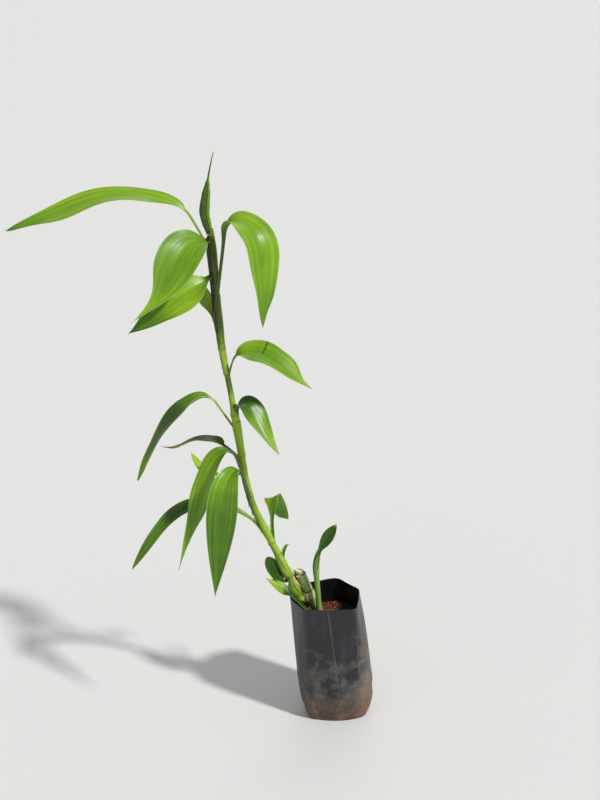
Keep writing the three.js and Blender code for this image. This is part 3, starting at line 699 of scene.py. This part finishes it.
def soil_material():
    """Damp red loam with coir: matt and crumbly."""
    material, add = new_material("red_loam_and_coir")
    place = add("ShaderNodeTexCoord").outputs["Object"]
    aside = add("ShaderNodeSeparateXYZ", [place]).outputs[0]
    # Crumbs about 2.5 mm across and damp patches about 10 mm across.
    crumbs = add("ShaderNodeTexVoronoi", {"Vector": place, "Scale": 420.0})
    damp = add(NOISE, {"Vector": place, "Scale": 90.0, "Detail": 4.0})
    # Painted shade: the soil is painted near black away from the stems, towards the right, where the bag's
    # wall shades it.
    painted_wall_shade = add(RANGE, [aside, -0.008, 0.004, 0.0, 0.85])
    skin = colour("#1a0d07")
    for amount, over in ((damp, "#4c2412"), (crumbs, "#7c3e20"), (painted_wall_shade, "#0c0705")):
        skin = add(MIX, {AMOUNT: amount, UNDER: skin, OVER: colour(over)}, data_type="RGBA").outputs[MIXED]
    add("ShaderNodeOutputMaterial", {"Surface": bumped(add, skin, 0.95, crumbs, 0.8, 0.001)})
    return material


def floor_material():
    """Matt pale paper."""
    material, add = new_material("pale_paper_matt")
    surface = add("ShaderNodeBsdfPrincipled", {"Base Color": colour("#d9d8d4"), "Roughness": 0.9})
    add("ShaderNodeOutputMaterial", {"Surface": surface})
    return material


LEAF = leaf_material()
SHOOT_SKIN = stem_material("dracaena_stem_young", "#142708", "#aacb2c", "#6c7030", 0.45, 0.05)
NEW_SKIN = stem_material("dracaena_stem_new", "#1c380e", "#98c45c", "#6c7030", 0.45, 0.08)
SHEATH_SKIN = stem_material("dracaena_leaf_sheath", "#10240a", "#a2c72c", "#9fb062", 0.48, 0.04)
CANE_SKIN = stem_material("dracaena_cane_old", "#2c4416", "#b3ca80", "#10140a", 0.5, 0.2)
SHEATH_DRY = dried_material("dried_leaf_sheath", "#b98350", "#f4d3a2")
PITH_AND_LIT_SCRAPS = dried_material("dried_cut_pith_and_lit_scraps", "#e3b78a", "#fff0d6")
COIR = dried_material("coir_fibre", "#a3562a", "#f0a660")
FILM = film_material()
SOIL = soil_material()


# Leaves

def leaf_tree():
    """The node tree that spreads a blade along its midrib: ribs, wavy edge and true thickness."""
    tree, add, given = new_tree("leaf along its midrib", (
        ("Midrib", "Geometry"), ("Rows", "Int"), ("Columns", "Int"), ("Thickness", "Float"),
        ("Ribs", "Float"), ("Rib height", "Float"), ("Waves", "Float"), ("Wave height", "Float"),
        ("Seed", "Float"), ("Dry tip", "Float"), ("Material", "Material"),
    ), "Blade")
    grid = add("GeometryNodeMeshGrid", {
        "Size X": 1.0, "Size Y": 1.0, "Vertices X": given["Rows"], "Vertices Y": given["Columns"]})
    # t goes from 0 at the root to 1 at the tip, and q from -1 at the right hand edge to 1 at the left.
    index = add("GeometryNodeInputIndex")
    row = add(MATH, [add(MATH, [index, given["Columns"]], operation="DIVIDE")], operation="FLOOR")
    column = add(MATH, [index, given["Columns"]], operation="MODULO")
    last = add(MATH, [given["Columns"], 1.0], operation="SUBTRACT")
    q = add(RANGE, [column, 0.0, last, -1.0, 1.0])
    t = add(MATH, [row, add(MATH, [given["Rows"], 1.0], operation="SUBTRACT")], operation="DIVIDE")
    sampled = {"position": add("GeometryNodeInputPosition")}
    for key in ("across", "lifted", "normal", "reach", "shade"):
        sampled[key] = add("GeometryNodeInputNamedAttribute", {"Name": key}, data_type="FLOAT_VECTOR")
    for key, field in sampled.items():
        sampled[key] = add("GeometryNodeSampleIndex", {
            "Geometry": given["Midrib"], "Value": field, "Index": row},
            data_type="FLOAT_VECTOR", domain="POINT")
    # Each half is drawn out to its own edge.
    reach_left, reach_right, slit_at = add("ShaderNodeSeparateXYZ", [sampled["reach"]]).outputs
    left, right = (add(MATH, [q, 0.0], operation=end) for end in ("MAXIMUM", "MINIMUM"))
    left = add(MATH, [left, reach_left], operation="MULTIPLY")
    right = add(MATH, [right, reach_right], operation="MULTIPLY")
    out = add(MATH, [left, right], operation="ADD")
    apart = add(MATH, [out], operation="ABSOLUTE")
    bend = add(MATH, [apart, 1.35], operation="POWER")
    # Ribs run the whole length, and the edge waves with a phase of its own on each side.
    rib = add(MATH, [add(MATH, [out, given["Ribs"]], operation="MULTIPLY")], operation="COSINE")
    rib = add(MATH, [rib, given["Rib height"]], operation="MULTIPLY")
    sway = add(MATH, [t, given["Waves"]], operation="MULTIPLY")
    sway = add(MATH, [sway, given["Seed"]], operation="ADD")
    wave = add(MATH, [add(MATH, [q, 1.3, sway], operation="MULTIPLY_ADD")], operation="SINE")
    steep = add(MATH, [apart, 2.5], operation="POWER")
    wave = add(MATH, [wave, steep], operation="MULTIPLY")
    rise = add(MATH, [wave, given["Wave height"], rib], operation="MULTIPLY_ADD")
    size = add(VECTOR_MATH, [sampled["across"]], operation="LENGTH").outputs["Value"]
    height = add(MATH, [rise, size], operation="MULTIPLY")
    place = sampled["position"]
    for key, by in (("across", out), ("lifted", bend), ("normal", height)):
        part = add(VECTOR_MATH, {0: sampled[key], "Scale": by}, operation="SCALE")
        place = add(VECTOR_MATH, [place, part], operation="ADD")
    blade = add(STORE, {"Geometry": grid, "Name": "UVMap", "Value": grid.outputs["UV Map"]},
                data_type="FLOAT2", domain="CORNER")
    blade = add("GeometryNodeSetPosition", {"Geometry": blade, "Position": place})
    shade = add("ShaderNodeSeparateXYZ", [sampled["shade"]]).outputs
    # tone is the leaf's colour with its painted light and shade, tilted across the blade by lit, which is
    # painted light.
    tone = add(MATH, [q, shade[1], shade[0]], operation="MULTIPLY_ADD")
    # A slit runs in from the left hand edge to the midrib.
    slit = add(MATH, [add(RANGE, [q, 0.0, 0.1]), slit_at], operation="MULTIPLY")
    for label, value in (("tone", tone), ("dry", given["Dry tip"]), ("slit", slit)):
        blade = add(STORE, {"Geometry": blade, "Name": label, "Value": value},
                    data_type="FLOAT", domain="POINT")
    # The upper skin is drawn off the lower one, whose faces are then turned round.
    upper = add("GeometryNodeExtrudeMesh", {
        "Mesh": blade, "Offset Scale": given["Thickness"], "Individual": False}, mode="FACES")
    lower = add("GeometryNodeFlipFaces", {"Mesh": blade})
    upper, lower = (
        add(STORE, {"Geometry": skin, "Name": "underside", "Value": mark}, data_type="FLOAT", domain="FACE")
        for skin, mark in ((upper, 0.0), (lower, 1.0))
    )
    both = add("GeometryNodeJoinGeometry", {"Geometry": [upper, lower]})
    welded = add("GeometryNodeMergeByDistance", {"Geometry": both, "Distance": 0.000002})
    angle = add("GeometryNodeInputMeshEdgeAngle").outputs["Unsigned Angle"]
    sharp = add("FunctionNodeCompare", [angle, 0.9], data_type="FLOAT", operation="GREATER_THAN")
    smooth = add("GeometryNodeSetShadeSmooth", {"Geometry": welded, "Shade Smooth": True}, domain="FACE")
    smooth = add("GeometryNodeSetShadeSmooth", {
        "Geometry": smooth, "Selection": sharp, "Shade Smooth": False}, domain="EDGE")
    real = add("GeometryNodeRealizeInstances", {"Geometry": smooth})
    done = add("GeometryNodeSetMaterial", {"Geometry": real, "Material": given["Material"]})
    add("NodeGroupOutput", {"Blade": done})
    return tree


def make_leaf(leaf, tree, number):
    """A leaf's blade, spread along its midrib, for all of that leaf's nodes."""
    rows = LEAF_ROWS
    centres, across, lifted, normals, reaches = leaf_midrib(leaf, rows)
    guide = bpy.data.meshes.new(leaf["name"] + "_midrib")
    guide.from_pydata((centres * MM).tolist(), [(i, i + 1) for i in range(rows - 1)], [])
    shades = np.array([(read(leaf["tones"], i / (rows - 1)), leaf["lit"], 0) for i in range(rows)])
    for key, values in (("across", across * MM), ("lifted", lifted * MM), ("normal", normals),
                        ("reach", reaches), ("shade", shades)):
        kept = guide.attributes.new(key, "FLOAT_VECTOR", "POINT")
        kept.data.foreach_set("vector", values.astype(np.float32).ravel())
    mesh = grown(leaf["name"], guide, tree, {
        "Rows": rows, "Columns": LEAF_COLUMNS, "Thickness": LEAF_THICKNESS * MM,
        "Ribs": max(1, round(leaf["width"] / RIB_SPACING)) * math.pi,
        "Rib height": RIB_HEIGHT * leaf["ribs"], "Waves": leaf["waves"] * 2 * math.pi,
        "Wave height": WAVE_HEIGHT, "Seed": number * 1.7, "Dry tip": leaf["dry"], "Material": LEAF,
    })
    nodes = [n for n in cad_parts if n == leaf["name"] or n.startswith(leaf["name"] + "_")]
    return new_piece(leaf["name"] + "_fine", mesh, nodes)


def make_spear():
    """The newest leaf, rolled once and a quarter round itself and pressed flat, its free edge in front."""
    rings, tones = [], []
    rows, columns = 110, 56
    for i in range(rows):
        s = SPEAR["top"] * i / (rows - 1)
        radius = read(SPEAR["radii"], s)
        first, second = axes_at(SPEAR, s)
        centre = point_along(SPEAR, s)
        outer, inner, tone = [], [], []
        skin = min(LEAF_THICKNESS, radius * 0.4)
        for j in range(columns):
            share = j / (columns - 1)
            angle = math.radians(SPEAR["edge_at"] + (1 - share) * SPEAR["turns"] * 360)
            # Its inmost edge lies at 0.72 of the radius.
            reach = radius * (0.72 + 0.28 * share)
            ray = ray_at((first, second * SPEAR["flatness"]), angle)
            outer.append(centre + ray * reach)
            inner.append(centre + ray * (reach - skin))
            # Painted light and shade: the outer turn, whose edge faces the key lamp, is painted paler than
            # the inner one.
            tone.append(0.1 + 0.5 * eased(share, 0.72, 0.8) + 0.1 * eased(s, 40, 82))
        rings.append(outer + inner[::-1])
        tones.append(tone + tone[::-1])
    plain = np.zeros((rows, 2 * columns))
    marks = {"tone": tones, "dry": plain, "underside": plain}
    mesh = loft_mesh("rolled_leaf", rings, LEAF, strip=True, marks=marks)
    return new_piece("leaf_2_rolled", mesh, ["leaf_2_spear"])


# Stems

def make_limb(name, limb, material, node):
    """A limb with its rings, grain relief and scar lines, from its foot to its top, which is rounded
    where it wasn't cut. Painted light: the side that faces the key lamp is painted yellower."""
    rings, tone, scar = [], [], []
    top = limb["top"]
    rows = int(top / LIMB_ROW)
    uneven, fine, long = BARK
    for i in range(rows):
        s = top * i / (rows - 1)
        axes, centre, along = axes_at(limb, s), point_along(limb, s), direction_along(limb, s)
        radius = radius_along(limb, s)
        near = max([0.0] + [1 - abs(s - at) / limb["scar_width"] for at in limb.get("scars", ())])
        if limb is not CANE:
            radius *= math.sqrt(max(1 - max(0.0, (s - top + radius) / radius) ** 2, 0.02))
        ring, shades = [], []
        for j in range(LIMB_COLUMNS):
            angle = 2 * math.pi * j / LIMB_COLUMNS
            reach = radius * (1 + uneven * rough_at(angle, fine, s / long)) - SCAR_DEPTH * near
            ray = ray_at(axes, angle)
            # The cane was cut level, so its last rings are slanted to match.
            slant = reach * ray[2] / along[2] * eased(s, top - 5, top) if limb is CANE else 0
            ring.append(centre + reach * ray - along * slant)
            shades.append(read(limb["tones"], s) + painted_side_light(ray))
        rings.append(ring)
        tone.append(shades)
        scar.append([near] * LIMB_COLUMNS)
    mesh = loft_mesh(name, rings, material, marks={"tone": tone, "scar": scar})
    return new_piece(name, mesh, [node])


def make_sheath(name, limb, side, start, end, spans, loose=0):
    """A leaf's base, wrapped round its limb and open on the far side. spans are the half angles that it
    covers at its foot and at its top, and loose is how far in mm it stands off."""
    rings, tone, scar = [], [], []
    rows, columns, skin, gap, flare = 50, 29, 0.4, 0.2, 0.4
    for i in range(rows):
        share = i / (rows - 1)
        s = start + (end - start) * share
        axes, centre = axes_at(limb, s, heading(side, 0)), point_along(limb, s)
        span = math.radians(spans[0] + (spans[1] - spans[0]) * eased(share, 0.1, 1))
        reach = radius_along(limb, min(s, limb["top"])) + gap + flare * share
        slack = loose * math.sin(math.pi * share)
        outer, inner, shades, pale = [], [], [], []
        for j in range(columns):
            q = 2 * j / (columns - 1) - 1
            ray = ray_at(axes, span * q)
            out = reach + slack * max(0, math.cos(span * q)) ** 1.5
            outer.append(centre + ray * out)
            inner.append(centre + ray * (out - skin))
            # Painted light and shade: the sheath takes the shoot's tones and is painted yellower on the
            # side facing the key lamp.
            shades.append(read(SHOOT["tones"], s) + painted_side_light(ray))
            pale.append(0.4 * eased(abs(q), 0.9, 1))
        rings.append(outer + inner[::-1])
        tone.append(shades + shades[::-1])
        scar.append(pale + pale[::-1])
    mesh = loft_mesh(name, rings, SHEATH_SKIN, strip=True, marks={"tone": tone, "scar": scar})
    return new_piece(name, mesh, ["shoot"])


def shoot_sheath(leaf):
    """The sheath of a leaf of the shoot, from the ring below the leaf, or 46 mm below, to 3 mm above."""
    at, loose = leaf["at"], leaf["loose"]
    below = [ring for ring in SHOOT["rings"] if ring < at - 10]
    start = max(below[-1] if below else 2, at - 46)
    spans = (80, 62) if loose else (165, 62)
    return make_sheath(leaf["name"] + "_sheath", SHOOT, leaf["side"], start, at + 3, spans, loose)


def flake(rng, centre, along, across, length, width):
    """Rings of one torn scrap of dried sheath: curled, thin and ragged at its tip."""
    rows, columns, half_skin, curl, ragged = 9, 6, 0.15, 0.06, 0.12
    along, across = along / np.linalg.norm(along), across / np.linalg.norm(across)
    up = np.cross(along, across)
    rings = []
    for i in range(rows):
        share = i / (rows - 1)
        half = width / 2 * (1 - 0.75 * share ** 2) * (1 + 0.25 * (rng.random() - 0.5))
        outer, inner = [], []
        for j in range(columns):
            q = 2 * j / (columns - 1) - 1
            lift = curl * length * share ** 2 - 0.3 * half * q * q + ragged * (rng.random() - 0.5)
            place = centre + along * length * share + across * half * q
            outer.append(place + up * (lift + half_skin))
            inner.append(place + up * (lift - half_skin))
        rings.append(outer + inner[::-1])
    return rings


def joined(name, meshes):
    """One mesh from several of one material."""
    whole = bmesh.new()
    for mesh in meshes:
        whole.from_mesh(mesh)
    mesh = bpy.data.meshes.new(name)
    whole.to_mesh(mesh)
    whole.free()
    mesh.polygons.foreach_set("use_smooth", [True] * len(mesh.polygons))
    mesh.materials.append(meshes[0].materials[0])
    return mesh


def make_scraps():
    """The torn scraps of dried sheath, joined into one piece for each limb."""
    rng = random.Random(5)
    parts = {"cane": [], "shoot": []}
    for number, (name, s, turn, tilt, length, width) in enumerate(SCRAPS):
        # The cane's scraps take the pale pith colours, which is painted light: it keeps them bright in the
        # shadow that the side shoot casts.
        limb, skin = (CANE, PITH_AND_LIT_SCRAPS) if name == "cane" else (SHOOT, SHEATH_DRY)
        ray = ray_at(axes_at(limb, s), math.radians(turn))
        along = direction_along(limb, s) * math.copysign(1, length)
        way = ray_at((along, ray), math.radians(tilt))
        place = point_along(limb, s) + ray * (radius_along(limb, s) + 0.15)
        rings = flake(rng, place, way, np.cross(ray, way), abs(length), width)
        parts[name].append(loft_mesh("scrap_%d" % number, rings, skin, strip=True))
    for name, meshes in parts.items():
        new_piece(name + "_scraps", joined(name + "_scraps", meshes), [name])


def make_cut():
    """The cane's cut top: a level face of dried pith."""
    top, columns = CANE["top"], 36
    axes, along = axes_at(CANE, top - 2), direction_along(CANE, top - 2)
    centre = point_along(CANE, top)
    rings = []
    for reach, height in CUT_FACE:
        ring = []
        for j in range(columns):
            angle = 2 * math.pi * j / columns
            rough = 0.15 * rough_at(angle, 3, reach)
            ray = ray_at(axes, angle)
            slant = reach * ray[2] / along[2]
            ring.append(centre + ray * (reach + rough) + along * (height - slant + rough))
        rings.append(ring)
    return new_piece("cane_cut", loft_mesh("cane_cut", rings, PITH_AND_LIT_SCRAPS), ["cane"])


# Bag and soil

def make_bag():
    """The film: a thin shell from the middle of its underside, up over the rim and down inside."""
    per_side, top, film, clear = 60, BAG["height"], BAG["film"], 3
    heights = list(np.linspace(0, 10, 12)) + list(np.linspace(11.2, top - 0.2, 100))
    rows = [(0, 0, scale) for scale in (0.04, 0.3, 0.6, 0.85)] + [(z, 0, 1) for z in heights]
    rows.append((top, film / 2, 1))
    outside = len(rows)
    rows += [(z, film, 1) for z in np.linspace(top - 0.2, SOIL_LEVEL - 8, 24)]
    # Below the soil, where nothing shows, the inner skin is plain and stays clear of the outer one.
    rows += [(z, clear, 1) for z in (80, 40, 12, 4, 1)] + [(film, clear, scale) for scale in (0.7, 0.04)]
    rings, wear, inside = [], [], []
    for number, (z, inset, scale) in enumerate(rows):
        ring = bag_ring(z, inset, per_side, scale)
        worn = []
        for point in ring:
            turn = math.degrees(math.atan2(point[1], point[0] - bag_shift(z)))
            # Each point takes the creases' mark: a pale line, partly worn and partly painted highlight,
            # less painted shade.
            worn.append(crease_at(turn, z)[1])
            sag = noise.noise(Vector((point[0] / 18, point[1] / 18, 3.0)))
            point[2] += BAG["rim_sag"] * sag * eased(z, 100, top)
        rings.append(ring)
        wear.append(worn)
        inside.append([float(number >= outside)] * len(ring))
    mesh = loft_mesh("bag_film", rings, FILM, marks={"wear": wear, "inside": inside})
    return new_piece("bag_film", mesh, ["bag"])


def soil_height(x, y):
    """The soil's uneven top."""
    heap = sum(high * noise.noise(Vector((x / broad, y / broad, at))) for high, broad, at in HEAPS)
    return SOIL_LEVEL + heap - 0.3


def make_soil():
    """The filling, up to its crumbly top. It stays well clear of the crumpled film low down."""
    per_side, clearance = 24, BAG["film"] + 0.5
    rings = [bag_ring(1.2, clearance + 4, per_side, scale) for scale in (0.05, 0.6)]
    rings += [bag_ring(z, clearance + 4, per_side) for z in (1.3, 6, 12, 22, 39, 62, 80)]
    rings += [bag_ring(z, clearance, per_side) for z in (100, SOIL_LEVEL - 1)]
    for scale in np.linspace(1, 0.02, 26):
        ring = bag_ring(SOIL_LEVEL, clearance, per_side, scale)
        for point in ring:
            point[2] = soil_height(point[0], point[1])
        rings.append(ring)
    return new_piece("soil_filling", loft_mesh("soil_filling", rings, SOIL), ["soil"])


def crumb_tree():
    """The node tree that strews crumbs and coir fibres over a patch of soil."""
    tree, add, given = new_tree("crumbs on soil", (
        ("Patch", "Geometry"), ("Crumbs per m2", "Float"), ("Fibres per m2", "Float"),
        ("Crumb", "Float"), ("Fibre radius", "Float"), ("Fibre length", "Float"), ("Seed", "Int"),
        ("Soil", "Material"),
    ), "Strewn")
    ball = add("GeometryNodeMeshIcoSphere", {"Radius": given["Crumb"], "Subdivisions": 1})
    stick = add("GeometryNodeMeshCylinder", {
        "Vertices": 5, "Radius": given["Fibre radius"], "Depth": given["Fibre length"]})
    # Crumbs lie any way, and fibres lie near flat.
    half_turn = math.pi
    strewn = []
    for shape, kind, sizes, least, most in (
        (ball, "Crumbs", (0.35, 1.5), (-half_turn,) * 3, (half_turn,) * 3),
        (stick, "Fibres", (0.3, 1), (1.1, -half_turn, -half_turn), (2, half_turn, half_turn)),
    ):
        points = add("GeometryNodeDistributePointsOnFaces", {
            "Mesh": given["Patch"], "Density": given[kind + " per m2"], "Seed": given["Seed"]})
        turn = add("FunctionNodeRandomValue", {0: least, 1: most, "Seed": given["Seed"]},
                   data_type="FLOAT_VECTOR")
        scale = add("FunctionNodeRandomValue", {2: sizes[0], 3: sizes[1], "Seed": given["Seed"]},
                    data_type="FLOAT").outputs[1]
        strewn.append(add("GeometryNodeInstanceOnPoints", {
            "Points": points, "Instance": shape, "Rotation": turn, "Scale": scale}))
    both = add("GeometryNodeJoinGeometry", {"Geometry": strewn})
    real = add("GeometryNodeRealizeInstances", {"Geometry": both})
    done = add("GeometryNodeSetMaterial", {"Geometry": real, "Material": given["Soil"]})
    add("NodeGroupOutput", {"Strewn": done})
    return tree


def make_crumbs():
    """Crumbs and coir fibres, strewn over the soil."""
    patch = bpy.data.meshes.new("soil_patch")
    points, faces = [], []
    per_side, shares = 12, np.linspace(0.94, 0.05, 10)
    for scale in shares:
        for x, y, _ in bag_ring(SOIL_LEVEL, 3, per_side, scale):
            points.append((x * MM, y * MM, (soil_height(x, y) + 0.2) * MM))
    count = per_side * len(CORNERS)
    for i in range(len(shares) - 1):
        for j in range(count):
            k = (j + 1) % count
            faces.append((i * count + j, i * count + k, (i + 1) * count + k, (i + 1) * count + j))
    patch.from_pydata(points, [], faces)
    tree = crumb_tree()
    for name, crumbs, fibres, skin in (
        ("soil_crumbs", 260000.0, 0.0, SOIL), ("soil_fibres", 0.0, 60000.0, COIR),
    ):
        mesh = grown(name, patch.copy(), tree, {
            "Crumbs per m2": crumbs, "Fibres per m2": fibres, "Crumb": CRUMB_RADIUS * MM,
            "Fibre radius": FIBRE_RADIUS * MM, "Fibre length": FIBRE_LENGTH * MM, "Seed": 4, "Soil": skin,
        })
        new_piece(name, mesh, ["soil"])


make_bag()
make_soil()
make_crumbs()
make_limb("cane_bark", CANE, CANE_SKIN, "cane")
make_cut()
make_limb("shoot_bark", SHOOT, SHOOT_SKIN, "shoot")
make_limb("side_shoot_bark", SIDE_SHOOT, NEW_SKIN, "side_shoot")
make_limb("fork_shade_bark", FORK_SHADE, SHOOT_SKIN, "cane")
make_scraps()
LEAF_TREE = leaf_tree()
for number, leaf in enumerate(LEAVES):
    make_leaf(leaf, LEAF_TREE, number)
    if "at" in leaf:
        shoot_sheath(leaf)
make_spear()
make_sheath("last_sheath", LAST_SHEATH, 320, 372, 414, (178, 25))


# Floor, light and camera

# The floor reaches this far each way, in metres.
FAR = 20
floor_mesh = bpy.data.meshes.new("floor")
floor_mesh.from_pydata([(-FAR, -FAR, 0), (FAR, -FAR, 0), (FAR, FAR, 0), (-FAR, FAR, 0)], [], [(0, 1, 2, 3)])
floor_mesh.materials.append(floor_material())
floor = bpy.data.objects.new("floor", floor_mesh)
bpy.context.scene.collection.objects.link(floor)

# Lamps: where each stands, its breadth in degrees and its power. All are aimed at the plant's middle.
MIDDLE = Vector((-0.1, 0, 0.32))
for name, place, breadth, power in (
    ("key", (1.1, -0.98, 1.75), 5, 2.9),
    ("fill", (-1.3, -1.5, 0.9), 60, 0.35),
    ("back", (0.1, 1.4, 1.3), 45, 0.5),
):
    lamp = bpy.data.lights.new(name, "SUN")
    lamp.angle, lamp.energy = math.radians(breadth), power
    light = bpy.data.objects.new(name, lamp)
    light.location = place
    light.rotation_euler = (MIDDLE - Vector(place)).to_track_quat("-Z", "Y").to_euler()
    bpy.context.scene.collection.objects.link(light)

world = bpy.data.worlds.new("studio")
world.use_nodes = True
sky = world.node_tree.nodes["Background"].inputs
sky["Color"].default_value = colour("#e9edf2")
sky["Strength"].default_value = 0.45
bpy.context.scene.world = world
bpy.context.scene.view_settings.view_transform = "Standard"

# The camera looks down by 18.5 degrees from 1.43 m in front.
LOOKS_DOWN = 18.5
eye = bpy.data.cameras.new("eye")
eye.sensor_width, eye.lens = 36, 67.5
camera = bpy.data.objects.new("camera", eye)
camera.location = (-0.041, -1.431, 0.8285)
camera.rotation_euler = (math.radians(90 - LOOKS_DOWN), 0, 0)
bpy.context.scene.collection.objects.link(camera)
bpy.context.scene.camera = camera
